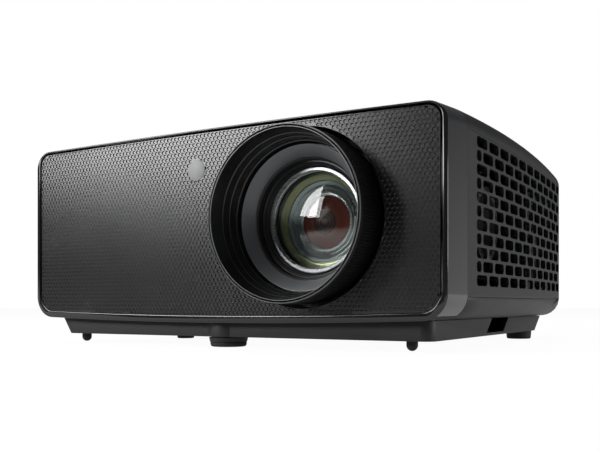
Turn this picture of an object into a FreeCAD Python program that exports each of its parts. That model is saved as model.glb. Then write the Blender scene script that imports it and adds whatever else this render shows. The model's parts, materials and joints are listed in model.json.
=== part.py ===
import FreeCAD, Part
import math
import os
import re
import Sketcher

# Home projector, front facing -Y, +Z up, millimetres.
# The origin is the centre of the footprint box, on the surface that the feet stand on.
# Every piece is drawn in the casing's own frame: x from the middle of the casing,
# y backwards from the front face, z up from the underside of the base pan.
# put() adds the two datums that carry that frame to the origin.

SIZES = {
    # datums
    "front_plane": -144.5,
    "base_level": 7.0,
    # casing outline
    "half_width": 168.5,
    "tail_half_width": 164.9,
    "bow_radius": 2280.0,
    "front_top": 141.2,
    "seam_top": 143.4,
    "tail_top": 140.6,
    "crown_radius": 3300.0,
    "casing_bottom": 9.8,
    "top_sag": 1.1,
    "flat_sag": 0.05,
    "bottom_sag": 2.6,
    "top_corner": 13.0,
    "bottom_corner": 16.0,
    "frame_depth": 35.0,
    "casing_depth": 314.0,
    "rear_radius": 16.0,
    "wall": 2.6,
    "gap": 0.2,
    # front panel
    "border": 4.9,
    "border_lift": 2.1,
    "lip": 1.6,
    "panel_thick": 2.4,
    "panel_set_back": 0.5,
    "lens_hole": 57.6,
    "window_x": -12.0,
    "window_z": 113.8,
    "window_radius": 7.0,
    # seams
    "lower_seam": 26.7,
    "upper_seam": 129.6,
    "rear_panel_half": 150.0,
    # side vents
    "vent_length": 19.6,
    "vent_height": 6.9,
    "vent_corner": 2.8,
    "vent_pitch": 23.2,
    "vent_rise": 8.75,
    "vent_low": 37.3,
    "vent_front": 50.8,
    "vent_half": 8.5,
    # lens
    "lens_x": 71.4,
    "lens_z": 77.0,
    "hood_reach": 25.0,
    "hood_radius": 54.3,
    "barrel_outer": 44.0,
    "barrel_inner": 41.0,
    "focus_tube": 40.6,
    "zoom_front": 44.0,
    "zoom_back": 56.0,
    # base pan
    "pan_wall": 2.2,
    "pan_half": 155.0,
    "pan_low_left": 147.0,
    "pan_front": 10.0,
    "pan_top_rear": 277.0,
    "pan_low_rear": 258.0,
    "pan_corner": 8.0,
    "pan_height": 12.3,
    # feet and ceiling mount
    "foot_y": 21.0,
    "foot_stem": 4.0,
    "rear_foot_x": 143.0,
    "rear_foot_y": 245.0,
    "pin_x": 137.6,
    "mount_half_x": 80.0,
    "mount_front_y": 130.0,
    "mount_rear_y": 250.0,
    "insert_bore": 2.0,
    "insert_radius": 3.6,
    # keypad
    "key_x": 40.0,
    "key_y": 258.0,
    "key_step": 15.0,
    "window_top_x": -50.0,
    # sockets on the rear panel
    "board_top": 46.4,
    "inlet_x": -118.0,
    "inlet_z": 52.0,
    "socket_front": 296.0,
    # fans
    "fan_half": 40.0,
    "fan_thick": 20.0,
    "fan_y": 236.0,
    "fan_z": 72.0,
    "fan_x": 142.0,
    # light source
    "wheel_x": -28.0,
    "wheel_y": 75.0,
    "wheel_z": 75.0,
}

doc = FreeCAD.newDocument("projector")
sheet = doc.addObject("Spreadsheet::Sheet", "Sizes")
for row, (alias, value) in enumerate(SIZES.items(), start=1):
    sheet.set("A%d" % row, alias)
    sheet.set("B%d" % row, str(value))
    sheet.setAlias("B%d" % row, alias)
doc.recompute()

V = FreeCAD.Vector
NODES = {}


# ---------------------------------------------------------------- helpers

def bound(text):
    """The same formula with every size name pointing at the sheet."""
    def point(match):
        word = match.group()
        return "Sizes." + word if word in SIZES else word
    return re.sub(r"[a-z][a-z_]*", point, str(text))


def number(text):
    """The present value of a formula of size names."""
    return float(sheet.evalExpression(str(text)))


def drive(thing, prop, text):
    thing.setExpression(prop, bound(text))


def put(thing, x="0", y="0", z="0"):
    """Place a thing given in the casing's own frame."""
    drive(thing, "Placement.Base.x", x)
    drive(thing, "Placement.Base.y", "front_plane + (%s)" % y)
    drive(thing, "Placement.Base.z", "base_level + (%s)" % z)
    return thing


def node(name, thing):
    """Register a finished sub-part under its own name."""
    thing.Label = name
    NODES[name] = thing
    return thing


def origin_plane(body, role):
    return [f for f in body.Origin.OriginFeatures if f.Role == role][0]


def arc_between(start, end, radius):
    """Arc from start to end: a positive radius bulges to the right of the way, a negative one to the left."""
    chord = end - start
    half = chord.Length / 2
    size = max(abs(radius), half)
    middle = (start + end) * 0.5
    side = V(chord.y, -chord.x, 0).normalize() * (1 if radius > 0 else -1)
    rise = size - math.sqrt(max(size * size - half * half, 0.0))
    return Part.Arc(start, middle + side * rise, end)


def outline(sketch, corners):
    """Closed outline. A corner is (x, y) or (x, y, r): formulas, with r the radius of the run that leaves it."""
    places = [V(number(c[0]), number(c[1]), 0) for c in corners]
    first = sketch.GeometryCount
    total = len(corners)
    for i, corner in enumerate(corners):
        start, end = places[i], places[(i + 1) % total]
        if len(corner) == 3:
            sketch.addGeometry(arc_between(start, end, number(corner[2])), False)
        else:
            sketch.addGeometry(Part.LineSegment(start, end), False)
    ends = []
    for i, corner in enumerate(corners):
        edge = sketch.Geometry[first + i]
        forward = (edge.StartPoint - places[i]).Length < 1e-6
        ends.append((1, 2) if forward else (2, 1))
    for i, corner in enumerate(corners):
        after = (i + 1) % total
        here = first + i
        sketch.addConstraint(Sketcher.Constraint("Coincident", here, ends[i][1], first + after, ends[after][0]))
        for kind, formula, value in (("DistanceX", corner[0], places[i].x), ("DistanceY", corner[1], places[i].y)):
            index = sketch.addConstraint(Sketcher.Constraint(kind, -1, 1, here, ends[i][0], value))
            sketch.setExpression("Constraints[%d]" % index, bound(formula))
        if len(corner) == 3:
            size = abs(number(corner[2]))
            index = sketch.addConstraint(Sketcher.Constraint("Radius", here, size))
            sketch.setExpression("Constraints[%d]" % index, bound("abs(%s)" % corner[2]))


def ring(sketch, x, y, radius):
    """Circle of a sketch, its centre and radius driven by formulas."""
    index = sketch.addGeometry(Part.Circle(V(number(x), number(y), 0), V(0, 0, 1), number(radius)), False)
    for kind, formula in (("DistanceX", x), ("DistanceY", y)):
        at = sketch.addConstraint(Sketcher.Constraint(kind, -1, 1, index, 3, number(formula)))
        sketch.setExpression("Constraints[%d]" % at, bound(formula))
    at = sketch.addConstraint(Sketcher.Constraint("Radius", index, number(radius)))
    sketch.setExpression("Constraints[%d]" % at, bound(radius))


def block_outline(x_low, x_high, y_low, y_high):
    return [(x_low, y_low), (x_high, y_low), (x_high, y_high), (x_low, y_high)]


def round_outline(x_low, x_high, y_low, y_high, radius):
    """Rectangle with four rounded corners, walked anticlockwise so that corners bulge outwards."""
    a, b, c, d, r = x_low, x_high, y_low, y_high, radius
    return [
        ("%s + %s" % (a, r), c), ("%s - %s" % (b, r), c, r),
        (b, "%s + %s" % (c, r)), (b, "%s - %s" % (d, r), r),
        ("%s - %s" % (b, r), d), ("%s + %s" % (a, r), d, r),
        (a, "%s - %s" % (d, r)), (a, "%s + %s" % (c, r), r),
    ]


def new_sketch(body, role, name, lift="0"):
    sketch = body.newObject("Sketcher::SketchObject", name)
    sketch.AttachmentSupport = [(origin_plane(body, role), "")]
    sketch.MapMode = "FlatFace"
    drive(sketch, "AttachmentOffset.Base.z", lift)
    return sketch


def plate(label, role, draw, thickness, at=("0", "0", "0"), back=False):
    """Body made by padding one sketch; draw fills the sketch."""
    body = doc.addObject("PartDesign::Body", label)
    sketch = new_sketch(body, role, label + "_outline")
    draw(sketch)
    pad = body.newObject("PartDesign::Pad", label + "_pad")
    pad.Profile = (sketch, [""])
    pad.Reversed = back
    drive(pad, "Length", thickness)
    return put(body, *at)


def turned(label, axis, profile, at=("0", "0", "0")):
    """Body of revolution. The profile is (radius, distance along the axis)."""
    body = doc.addObject("PartDesign::Body", label)
    role = "XZ_Plane" if axis == "Z" else "XY_Plane"
    sketch = new_sketch(body, role, label + "_profile")
    if axis == "X":
        profile = [(p[1], p[0]) + tuple(p[2:]) for p in profile]
    outline(sketch, profile)
    feature = body.newObject("PartDesign::Revolution", label + "_turn")
    feature.Profile = (sketch, [""])
    feature.ReferenceAxis = (sketch, ["H_Axis" if axis == "X" else "V_Axis"])
    feature.Angle = 360
    return put(body, *at)


def tube(label, axis, inner, outer, low, high, at=("0", "0", "0")):
    return turned(label, axis, block_outline(inner, outer, low, high), at)


def box(label, x, y, z):
    """Block between three pairs of formulas."""
    thing = doc.addObject("Part::Box", label)
    for prop, (low, high) in (("Length", x), ("Width", y), ("Height", z)):
        drive(thing, prop, "(%s) - (%s)" % (high, low))
    return put(thing, x[0], y[0], z[0])


TURN = {"X": (V(0, 1, 0), 90), "Y": (V(1, 0, 0), -90), "Z": (V(0, 0, 1), 0)}


def rod(label, axis, radius, length, x, y, z):
    """Cylinder that starts at x, y, z and runs the given length along an axis."""
    thing = doc.addObject("Part::Cylinder", label)
    drive(thing, "Radius", radius)
    drive(thing, "Height", length)
    way, angle = TURN[axis]
    thing.Placement = FreeCAD.Placement(V(0, 0, 0), FreeCAD.Rotation(way, angle))
    return put(thing, x, y, z)


def fuse(label, *things):
    joined = doc.addObject("Part::MultiFuse", label)
    joined.Shapes = list(things)
    joined.Refine = True
    return joined


def group(label, *things):
    """Several separate solids of one kind in one sub-part."""
    together = doc.addObject("Part::Compound", label)
    together.Links = list(things)
    return together


def cut(label, base, *tools):
    result = doc.addObject("Part::Cut", label)
    result.Base = base
    result.Tool = tools[0] if len(tools) == 1 else group(label + "_tools", *tools)
    return result


def common(label, base, tool):
    result = doc.addObject("Part::Common", label)
    result.Base = base
    result.Tool = tool
    return result


def eased(label, base, radius, chosen):
    """Round the edges for which chosen(edge) is true."""
    doc.recompute()
    numbers = [i for i, edge in enumerate(base.Shape.Edges, start=1) if chosen(edge)]
    result = doc.addObject("Part::Fillet", label)
    result.Base = base
    size = number(radius)
    result.Edges = [(i, size, size) for i in numbers]
    doc.recompute()
    return result


# ---------------------------------------------------------------- casing

def section(label, y, half, top, sag, inset):
    """Closed cross-section of the front frame at a depth y, drawn inset from its outer surface."""
    thing = doc.addObject("Sketcher::SketchObject", label)
    half, top = "(%s - %s)" % (half, inset), "(%s - %s)" % (top, inset)
    low = "(casing_bottom + %s)" % inset
    upper, lower = "(top_corner - %s)" % inset, "(bottom_corner - %s)" % inset
    shoulder, heel = "(%s - %s)" % (top, sag), "(%s + bottom_sag)" % low
    top_run, low_run = "(%s - %s)" % (half, upper), "(%s - %s)" % (half, lower)
    outline(thing, [
        ("-%s" % low_run, heel, "(%s ^ 2 + bottom_sag ^ 2) / (2 * bottom_sag)" % low_run),
        (low_run, heel, lower),
        (half, "%s + %s" % (heel, lower)),
        (half, "%s - %s" % (shoulder, upper), upper),
        (top_run, shoulder, "(%s ^ 2 + (%s) ^ 2) / (2 * %s)" % (top_run, sag, sag)),
        ("-%s" % top_run, shoulder, upper),
        ("-%s" % half, "%s - %s" % (shoulder, upper)),
        ("-%s" % half, "%s + %s" % (heel, lower), lower),
    ])
    thing.Placement = FreeCAD.Placement(V(0, 0, 0), FreeCAD.Rotation(V(1, 0, 0), 90))
    return put(thing, "0", y, "0")


def frame_block(label, inset, start, end):
    """The front frame's solid between two depths: its top is arched in front and flat behind."""
    loft = doc.addObject("Part::Loft", label)
    loft.Sections = [
        section(label + "_front", start, "half_width", "front_top", "top_sag", inset),
        section(label + "_rear", end, "half_width", "seam_top", "flat_sag", inset),
    ]
    loft.Solid = True
    loft.Ruled = True
    return loft


def panel_block(label, inset, start, end):
    """A straight block of the front panel's outline, whose border is narrower along the top."""
    loft = doc.addObject("Part::Loft", label)
    loft.Sections = [section(label + side, y, "half_width", "(front_top + border_lift)", "top_sag", inset)
                     for side, y in (("_front", start), ("_rear", end))]
    loft.Solid = True
    loft.Ruled = True
    return loft


def front_frame():
    outer = frame_block("frame_outer", "0", "0", "frame_depth")
    hollow = frame_block("frame_hollow", "wall + 1", "6", "frame_depth + 1")
    recess = panel_block("frame_recess", "border", "-1", "panel_set_back + panel_thick")
    mouth = panel_block("frame_mouth", "border + lip", "0", "7")
    stem_hole = rod("frame_stem_hole", "Z", "foot_stem + 1.5", "20", "0", "foot_y", "0")
    node("front_frame", cut("frame_cut", outer, recess, mouth, hollow, stem_hole))


def front_panel():
    blank = panel_block("panel_blank", "border + gap", "panel_set_back", "panel_set_back + panel_thick - 0.05")
    lens = rod("panel_lens_hole", "Y", "lens_hole", "20", "lens_x", "-5", "lens_z")
    window = rod("panel_window_hole", "Y", "window_radius + 0.1", "20", "window_x", "-5", "window_z")
    node("front_panel", cut("panel_cut", blank, lens, window))
    node("front_ir_window", turned("front_ir_window", "Y", block_outline("0", "window_radius", "0.2", "3.4"),
                                   ("window_x", "0", "window_z")))
    shroud = [("lens_hole + 0.2", "3.2"), ("lens_hole + 1.6", "3.2"), ("lens_hole + 1.6", "30"),
              ("52", "30"), ("52", "28.6"), ("lens_hole + 0.2", "28.6")]
    node("lens_shroud", turned("lens_shroud", "Y", shroud, ("lens_x", "0", "lens_z")))


def casing_block(label, inset):
    """The bowed and crowned body behind the front frame, inset from its outer surface."""
    plan = doc.addObject("PartDesign::Body", label + "_plan")
    sketch = new_sketch(plan, "XY_Plane", label + "_plan_outline")
    half, tail = "(half_width - %s)" % inset, "(tail_half_width - %s)" % inset
    front, rear, corner = "(frame_depth + gap)", "(casing_depth - %s)" % inset, "(rear_radius - %s)" % inset
    outline(sketch, [
        ("-%s" % half, front), (half, front, "bow_radius"),
        (tail, "%s - %s" % (rear, corner), corner), ("%s - %s" % (tail, corner), rear),
        ("-%s + %s" % (tail, corner), rear, corner), ("-%s" % tail, "%s - %s" % (rear, corner), "bow_radius"),
    ])
    pad = plan.newObject("PartDesign::Pad", label + "_plan_pad")
    pad.Profile = (sketch, [""])
    drive(pad, "Length", "150")
    put(plan, "0", "0", "casing_bottom + bottom_sag + %s" % inset)
    crown = doc.addObject("PartDesign::Body", label + "_crown")
    sketch = new_sketch(crown, "YZ_Plane", label + "_crown_outline")
    outline(sketch, [
        ("0", "0"), ("casing_depth + 20", "0"), ("casing_depth + 20", "tail_top - %s" % inset, "crown_radius"),
        ("frame_depth", "seam_top - flat_sag - %s" % inset), ("0", "seam_top - flat_sag - %s" % inset),
    ])
    pad = crown.newObject("PartDesign::Pad", label + "_crown_pad")
    pad.Profile = (sketch, [""])
    drive(pad, "Length", "400")
    put(crown, "-200", "0", "0")
    block = common(label + "_block", plan, crown)
    front_edge = number("front_plane + frame_depth + 1")
    high = number("base_level + 125")
    low = number("base_level + casing_bottom + bottom_sag + 5")
    above = eased(label + "_shoulders", block, "top_corner - %s" % inset,
                  lambda edge: edge.BoundBox.ZMin > high and edge.BoundBox.YMax > front_edge)
    return eased(label + "_heels", above, "bottom_corner - 0.5 - %s" % inset,
                 lambda edge: edge.BoundBox.ZMax < low and edge.BoundBox.YMax > front_edge)


def casing():
    shell = cut("body_shell", casing_block("outer", "0"), casing_block("inner", "wall"))
    far = "400"
    window = box("rear_window", ("-rear_panel_half - gap", "rear_panel_half + gap"),
                 ("casing_depth - 8", "casing_depth + 5"), ("lower_seam - gap", "upper_seam + gap"))
    lower = common("lower_part", shell, box("lower_zone", ("-200", "200"), ("0", far), ("0", "lower_seam - gap / 2")))
    node("lower_case", lower)
    top = common("top_part", shell, box("top_zone", ("-200", "200"), ("0", far), ("upper_seam + gap / 2", "200")))
    node("top_cover", cut("top_cover_cut", top, *top_openings()))
    sides = cut("sides", shell, window, vent_holes())
    for name, low, high in (("right_side_panel", "rear_panel_half + gap", "200"),
                            ("left_side_panel", "-200", "-rear_panel_half - gap")):
        zone = box(name + "_zone", (low, high), ("0", far), ("lower_seam + gap / 2", "upper_seam - gap / 2"))
        node(name, common(name + "_wall", sides, zone))


def top_openings():
    """Lens-control tray, keypad and top window openings of the top cover."""
    tray = box("tray_opening", TRAY_X, TRAY_Y, ("120", "160"))
    keys = [rod("key_hole_" + name, "Z", "%s + 0.4" % size, "40", x, y, "120") for name, x, y, size in KEYS]
    window = rod("top_window_hole", "Z", "6.2", "40", "window_top_x", "key_y", "120")
    lights = [rod("light_hole_%d" % i, "Z", "1.8", "40", light_x(i), "key_y", "120") for i in range(3)]
    return [tray, window] + keys + lights


def light_x(index):
    return "key_x + 58 + %d" % (7 * index)


def vent_holes():
    """Bricks of vent holes through both side walls: six long rows, and five between them that start half."""
    body = doc.addObject("PartDesign::Body", "vents")
    kinds = (
        ("long", "vent_front", "vent_low", "vent_length", 11, 6),
        ("between", "vent_front + vent_pitch / 2", "vent_low + vent_rise", "vent_length", 10, 5),
        ("half", "vent_front", "vent_low + vent_rise", "vent_half", 1, 5),
    )
    for kind, start, middle, length, columns, rows in kinds:
        sketch = new_sketch(body, "YZ_Plane", kind + "_vent")
        outline(sketch, round_outline("(%s)" % start, "(%s + %s)" % (start, length),
                                      "(%s - vent_height / 2)" % middle, "(%s + vent_height / 2)" % middle,
                                      "vent_corner"))
        pad = body.newObject("PartDesign::Pad", kind + "_vent_cutter")
        pad.Profile = (sketch, [""])
        drive(pad, "Length", "400")
        doc.recompute()
        pattern = body.newObject("PartDesign::LinearPattern", kind + "_vent_rows")
        pattern.Originals = [pad]
        pattern.Direction = (origin_plane(body, "Z_Axis"), [""])
        drive(pattern, "Length", "%d * vent_rise" % (2 * rows - 2))
        pattern.Occurrences = rows
        if columns > 1:
            pattern.Direction2 = (origin_plane(body, "Y_Axis"), [""])
            drive(pattern, "Length2", "%d * vent_pitch" % (columns - 1))
            pattern.Occurrences2 = columns
        body.Tip = pattern
    return put(body, "-200", "0", "0")


TRAY_X = ("lens_x - 70", "lens_x + 46")
TRAY_Y = ("40", "70")

KEYS = [
    ("power", "key_x - 46", "key_y", "6"),
    ("menu", "key_x - 24", "key_y", "4.2"),
    ("enter", "key_x + 15", "key_y", "5.2"),
    ("up", "key_x + 15", "key_y + key_step", "4.2"),
    ("down", "key_x + 15", "key_y - key_step", "4.2"),
    ("left", "key_x + 15 - key_step", "key_y", "4.2"),
    ("right", "key_x + 15 + key_step", "key_y", "4.2"),
]


# ---------------------------------------------------------------- rear panel and sockets

SOCKETS = (
    ("hdmi_sockets", ("-20", "2", "24"), "7.8", "7.1", "3.6", "2.5"),
    ("usb_sockets", ("48", "66"), "7.3", "6.3", "3.9", "2.7"),
    ("network_socket", ("88",), "8.2", "6.0", "7.0", "4.6"),
)


def rear_panel():
    plain = box("rear_plate", ("-rear_panel_half", "rear_panel_half"), ("casing_depth - wall", "casing_depth"),
                ("lower_seam + gap / 2", "upper_seam - gap / 2"))
    deep = ("casing_depth - 5", "casing_depth + 5")
    holes = [box("inlet_hole", ("inlet_x - 14", "inlet_x + 14"), deep, ("inlet_z - 10", "inlet_z + 10")),
             box("lock_hole", ("128", "135"), deep, ("108", "111"))]
    for name, places, half_x, hole_x, half_z, hole_z in SOCKETS:
        middle = "board_top + %s" % half_z
        for i, x in enumerate(places):
            holes.append(box("%s_hole_%d" % (name, i), ("%s - %s" % (x, hole_x), "%s + %s" % (x, hole_x)), deep,
                             ("%s - %s" % (middle, hole_z), "%s + %s" % (middle, hole_z))))
    for i in range(2):
        holes.append(rod("jack_hole_%d" % i, "Y", "3.1", "20", "%d - 56" % (14 * i), "casing_depth - 5", "board_top + 4"))
    for i in range(13):
        holes.append(box("rear_vent_%d" % i, ("%.1f - 142" % (6.5 * i), "%.1f - 139" % (6.5 * i)), deep, ("76", "118")))
    node("rear_panel", cut("rear_panel_cut", plain, *holes))


def sockets():
    rear = "casing_depth - wall"
    for name, places, half_x, hole_x, half_z, hole_z in SOCKETS:
        solids = []
        middle = "board_top + %s" % half_z
        for i, x in enumerate(places):
            shell = box("%s_shell_%d" % (name, i), ("%s - %s" % (x, half_x), "%s + %s" % (x, half_x)),
                        ("socket_front", rear), ("board_top", "board_top + 2 * %s" % half_z))
            mouth = box("%s_mouth_%d" % (name, i), ("%s - %s" % (x, hole_x), "%s + %s" % (x, hole_x)),
                        ("socket_front + 2", "casing_depth"),
                        ("%s - %s" % (middle, hole_z), "%s + %s" % (middle, hole_z)))
            solids.append(cut("%s_%d" % (name, i), shell, mouth))
        node(name, group(name + "_group", *solids) if len(solids) > 1 else solids[0])
    jacks = [tube("jack_%d" % i, "Y", "1.8", "3.9", "0", "15", ("%d - 56" % (14 * i), "casing_depth - wall - 15.1", "board_top + 4"))
             for i in range(2)]
    node("audio_jacks", group("jacks", *jacks))
    body = box("inlet_body", ("inlet_x - 15", "inlet_x + 15"), ("casing_depth - 24", rear), ("inlet_z - 11.5", "inlet_z + 11.5"))
    cavity = box("inlet_cavity", ("inlet_x - 12", "inlet_x + 12"), ("casing_depth - 20", "casing_depth"),
                 ("inlet_z - 8", "inlet_z + 8"))
    pins = [box("inlet_pin_%d" % i, ("inlet_x - 1 + %d" % (7 * (i - 1)), "inlet_x + 1 + %d" % (7 * (i - 1))),
                ("casing_depth - 20", "casing_depth - 9"), ("inlet_z - 2 + %d" % z, "inlet_z + 2 + %d" % z))
            for i, z in enumerate((-2, 3, -2))]
    node("ac_inlet", fuse("ac_inlet_whole", cut("ac_inlet_cut", body, cavity), *pins))


# ---------------------------------------------------------------- base, feet, ceiling mount

def pan_outline(label, left, right, front, rear, z, inset):
    thing = doc.addObject("Sketcher::SketchObject", label)
    outline(thing, round_outline("(-%s + %s)" % (left, inset), "(%s - %s)" % (right, inset),
                                 "(%s + %s)" % (front, inset), "(%s - %s)" % (rear, inset),
                                 "(pan_corner - %s)" % inset))
    return put(thing, "0", "0", z)


def pan_block(label, inset, low, high):
    """Drafted block of the base pan: its left and rear sides lean outwards on the way up."""
    loft = doc.addObject("Part::Loft", label)
    loft.Sections = [pan_outline(label + "_low", "pan_low_left", "pan_half", "pan_front", "pan_low_rear", low, inset),
                     pan_outline(label + "_top", "pan_half", "pan_half", "pan_front", "pan_top_rear", high, inset)]
    loft.Solid = True
    loft.Ruled = True
    return loft


MOUNT_SPOTS = [(x, y) for x in ("-mount_half_x", "mount_half_x") for y in ("mount_front_y", "mount_rear_y")]
PAN_SCREWS = [(x, y) for x in ("-135", "0", "135") for y in ("60", "225")]


def base_pan():
    tray = cut("pan_tray", pan_block("pan_outer", "0", "0", "pan_height"),
               pan_block("pan_inner", "pan_wall", "2", "pan_height + 1"))
    bosses = [rod("pan_boss_%d" % i, "Z", "7", "pan_height", x, y, "0") for i, (x, y) in enumerate(MOUNT_SPOTS)]
    bosses.append(rod("pan_foot_boss", "Z", "14.2", "pan_height", "0", "foot_y", "0"))
    whole = fuse("pan_whole", tray, *bosses)
    relief = frame_block("pan_relief", "-gap", "-1", "frame_depth + 1")
    slot = plate("pan_side_slot", "YZ_Plane", lambda sketch: outline(sketch, [
        ("116", "2"), ("158", "2"), ("172", "13"), ("130", "13")]), "12", ("148", "0", "0"))
    holes = [rod("insert_hole_%d" % i, "Z", "insert_radius", "20", x, y, "-1") for i, (x, y) in enumerate(MOUNT_SPOTS)]
    holes += [rod("screw_hole_%d" % i, "Z", "1.7", "6", x, y, "-1") for i, (x, y) in enumerate(PAN_SCREWS)]
    holes.append(rod("stem_hole", "Z", "foot_stem + 0.1", "30", "0", "foot_y", "-5"))
    node("base_pan", cut("base_pan_cut", whole, relief, slot, *holes))


def feet():
    screw = [("0", "-3.7"), ("12.9", "-3.7"), ("13.6", "-0.6"), ("foot_stem", "-0.6"), ("foot_stem", "22"), ("0", "22")]
    node("front_foot_screw", turned("front_foot_screw", "Z", screw, ("0", "foot_y", "0")))
    pad = [("0", "-base_level"), ("11", "-base_level", "1.6"), ("12.5", "-base_level + 1.5"), ("12.8", "-4"), ("0", "-4")]
    node("front_foot_pad", turned("front_foot_pad", "Z", pad, ("0", "foot_y", "0")))
    solids = []
    for i, (x, y) in enumerate((("-rear_foot_x", "rear_foot_y"), ("rear_foot_x", "rear_foot_y"))):
        profile = [("0", "-base_level"), ("8.8", "-base_level", "1.4"), ("10.1", "-base_level + 1.3"), ("10.6", "0"), ("0", "0")]
        solids.append(turned("rear_foot_%d" % i, "Z", profile, (x, y, "0")))
    stub = [("0", "-6.2"), ("6", "-6.2", "1.1"), ("7", "-5.2"), ("7.2", "0"), ("0", "0")]
    solids.append(turned("rest_stub", "Z", stub, ("-100", "97", "0")))
    node("rubber_feet", group("rubber_feet_set", *solids))
    pins = [turned("pin_%d" % i, "Z", [("0", "-6.4", "3.6"), ("3.6", "-2.8"), ("3.6", "0"), ("0", "0")], (x, "22", "0"))
            for i, x in enumerate(("-pin_x", "pin_x"))]
    node("stabiliser_pins", group("pins", *pins))
    inserts = [tube("insert_%d" % i, "Z", "insert_bore", "insert_radius", "0", "9", (x, y, "0"))
               for i, (x, y) in enumerate(MOUNT_SPOTS)]
    node("mount_inserts", group("inserts", *inserts))
    head = [("0", "-1.1"), ("2.4", "-1.1"), ("3", "0"), ("1.5", "0"), ("1.5", "8"), ("0", "8")]
    screws = [turned("pan_screw_%d" % i, "Z", head, (x, y, "0")) for i, (x, y) in enumerate(PAN_SCREWS)]
    node("pan_screws", group("screws", *screws))


# ---------------------------------------------------------------- lens

AXIS = ("lens_x", "0", "lens_z")


def lens():
    hood = [("52.2", "-hood_reach"), ("53.7", "-hood_reach"), ("hood_radius", "-hood_reach + 0.6"),
            ("hood_radius", "7"), ("53.3", "8"), ("47", "8"), ("47", "20"), ("barrel_outer + 0.1", "20"),
            ("barrel_outer + 0.1", "5"), ("47.4", "5"), ("48.2", "-2"), ("50.4", "-14")]
    node("focus_ring", turned("focus_ring", "Y", hood, AXIS))
    cell = [("39.6", "8"), ("46.5", "1.2"), ("46.7", "3.9"), ("focus_tube", "4.3"), ("focus_tube", "40"), ("37", "40"),
            ("37", "32.5"), ("34.6", "32.5"), ("34.6", "18.2"), ("35.6", "13.2"), ("38.2", "12.8"), ("38.6", "8.8")]
    node("front_barrel", turned("front_barrel", "Y", cell, AXIS))
    node("front_retaining_ring", tube("front_retaining_ring", "Y", "31.8", "34.5", "17", "21.2", AXIS))
    front_glass = [("0", "17.4", "125"), ("34.3", "22.6"), ("34.3", "30"), ("29", "30"), ("20", "27.2"),
                   ("10", "25.5"), ("0", "25")]
    node("front_lens", turned("front_lens", "Y", front_glass, AXIS))
    node("inner_cell", tube("inner_cell", "Y", "25.2", "36.8", "33", "39", AXIS))
    second_glass = [("0", "33"), ("6", "33.2"), ("12", "34.1"), ("18", "35.6"), ("25", "38.4"), ("25", "39.6"), ("0", "41")]
    node("second_lens", turned("second_lens", "Y", second_glass, AXIS))
    barrel = [("barrel_inner", "9"), ("barrel_outer", "9"), ("barrel_outer", "20.8"), ("46", "20.8"), ("46", "43"),
              ("barrel_outer", "43"), ("barrel_outer", "98"), ("33", "98"), ("33", "94"), ("barrel_inner", "94")]
    node("main_barrel", turned("main_barrel", "Y", barrel, AXIS))
    band = tube("zoom_band", "Y", "barrel_outer + 0.1", "50", "zoom_front", "zoom_back", AXIS)
    lever = box("zoom_lever", ("lens_x - 3", "lens_x + 3"), ("47", "53"), ("lens_z + 49", "lens_z + 63"))
    node("zoom_ring", fuse("zoom_ring_whole", band, lever))
    node("zoom_tube", tube("zoom_tube", "Y", "37.2", "focus_tube", "48", "74", AXIS))
    zoom_glass = [("0", "52"), ("12", "52.7"), ("24", "54.7"), ("37", "58.5"), ("37", "64"), ("20", "66"), ("0", "67")]
    node("zoom_lens", turned("zoom_lens", "Y", zoom_glass, AXIS))
    rear_glass = [("0", "84", "160"), ("40.8", "89"), ("40.8", "93.8"), ("0", "93.8")]
    node("rear_lens", turned("rear_lens", "Y", rear_glass, AXIS))


def lens_shift():
    slab = box("carriage_slab", ("lens_x - 60", "lens_x + 60"), ("62", "72"), ("lens_z - 50", "lens_z + 46.5"))
    arm = box("carriage_arm", ("lens_x - 58", "lens_x - 46"), ("51", "62"), ("lens_z + 38", "lens_z + 46.5"))
    bores = [rod("carriage_bore", "Y", "barrel_outer", "30", "lens_x", "55", "lens_z"),
             rod("carriage_nut", "Z", "3.3", "30", "lens_x - 52", "56.5", "lens_z + 35")]
    bores += [rod("carriage_guide_%d" % i, "Z", "3.08", "140", "lens_x + %d" % x, "67", "lens_z - 70")
              for i, x in enumerate((-54, 54))]
    node("shift_carriage", cut("shift_carriage_cut", fuse("carriage_whole", slab, arm), *bores))
    rods = [rod("shift_rod_%d" % i, "Z", "3", "114.4", "lens_x + %d" % x, "67", "16") for i, x in enumerate((-54, 54))]
    node("shift_rods", group("rods", *rods))
    slab = box("frame_slab", ("lens_x - 64", "lens_x + 64"), ("76", "82"), ("15.1", "134"))
    ears = [box("frame_ear_%d" % i, ("lens_x + %d" % x, "lens_x + %d" % (x + 16)), ("60", "76"), ("%s" % z, "%s + 4" % z))
            for i, (x, z) in enumerate(((-62, 16), (46, 16), (-62, 126.4), (46, 126.4)))]
    holes = [rod("frame_light_hole", "Y", "49", "30", "lens_x", "70", "lens_z")]
    holes += [rod("frame_rod_hole_%d" % i, "Z", "3", "117", "lens_x + %d" % x, "67", "16") for i, x in enumerate((-54, 54))]
    node("lens_mount_frame", cut("lens_mount_frame_cut", fuse("mount_whole", slab, *ears), *holes))
    dial = [("0", "118"), ("3", "118"), ("3", "134"), ("11", "134"), ("11", "140"), ("10", "141"), ("0", "141")]
    node("shift_dial", turned("shift_dial", "Z", dial, ("lens_x - 52", "56.5", "0")))
    tray = box("tray_block", TRAY_X, TRAY_Y, ("131", "142.3"))
    hollow = box("tray_hollow", ("lens_x - 68", "lens_x + 44"), ("42", "68"), ("132.4", "150"))
    slot = box("tray_slot", ("lens_x - 25", "lens_x + 25"), ("45", "55"), ("120", "150"))
    stem = rod("tray_stem_hole", "Z", "3.3", "40", "lens_x - 52", "56.5", "110")
    node("lens_control_tray", cut("lens_control_tray_cut", tray, hollow, slot, stem))


# ---------------------------------------------------------------- keypad

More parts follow.
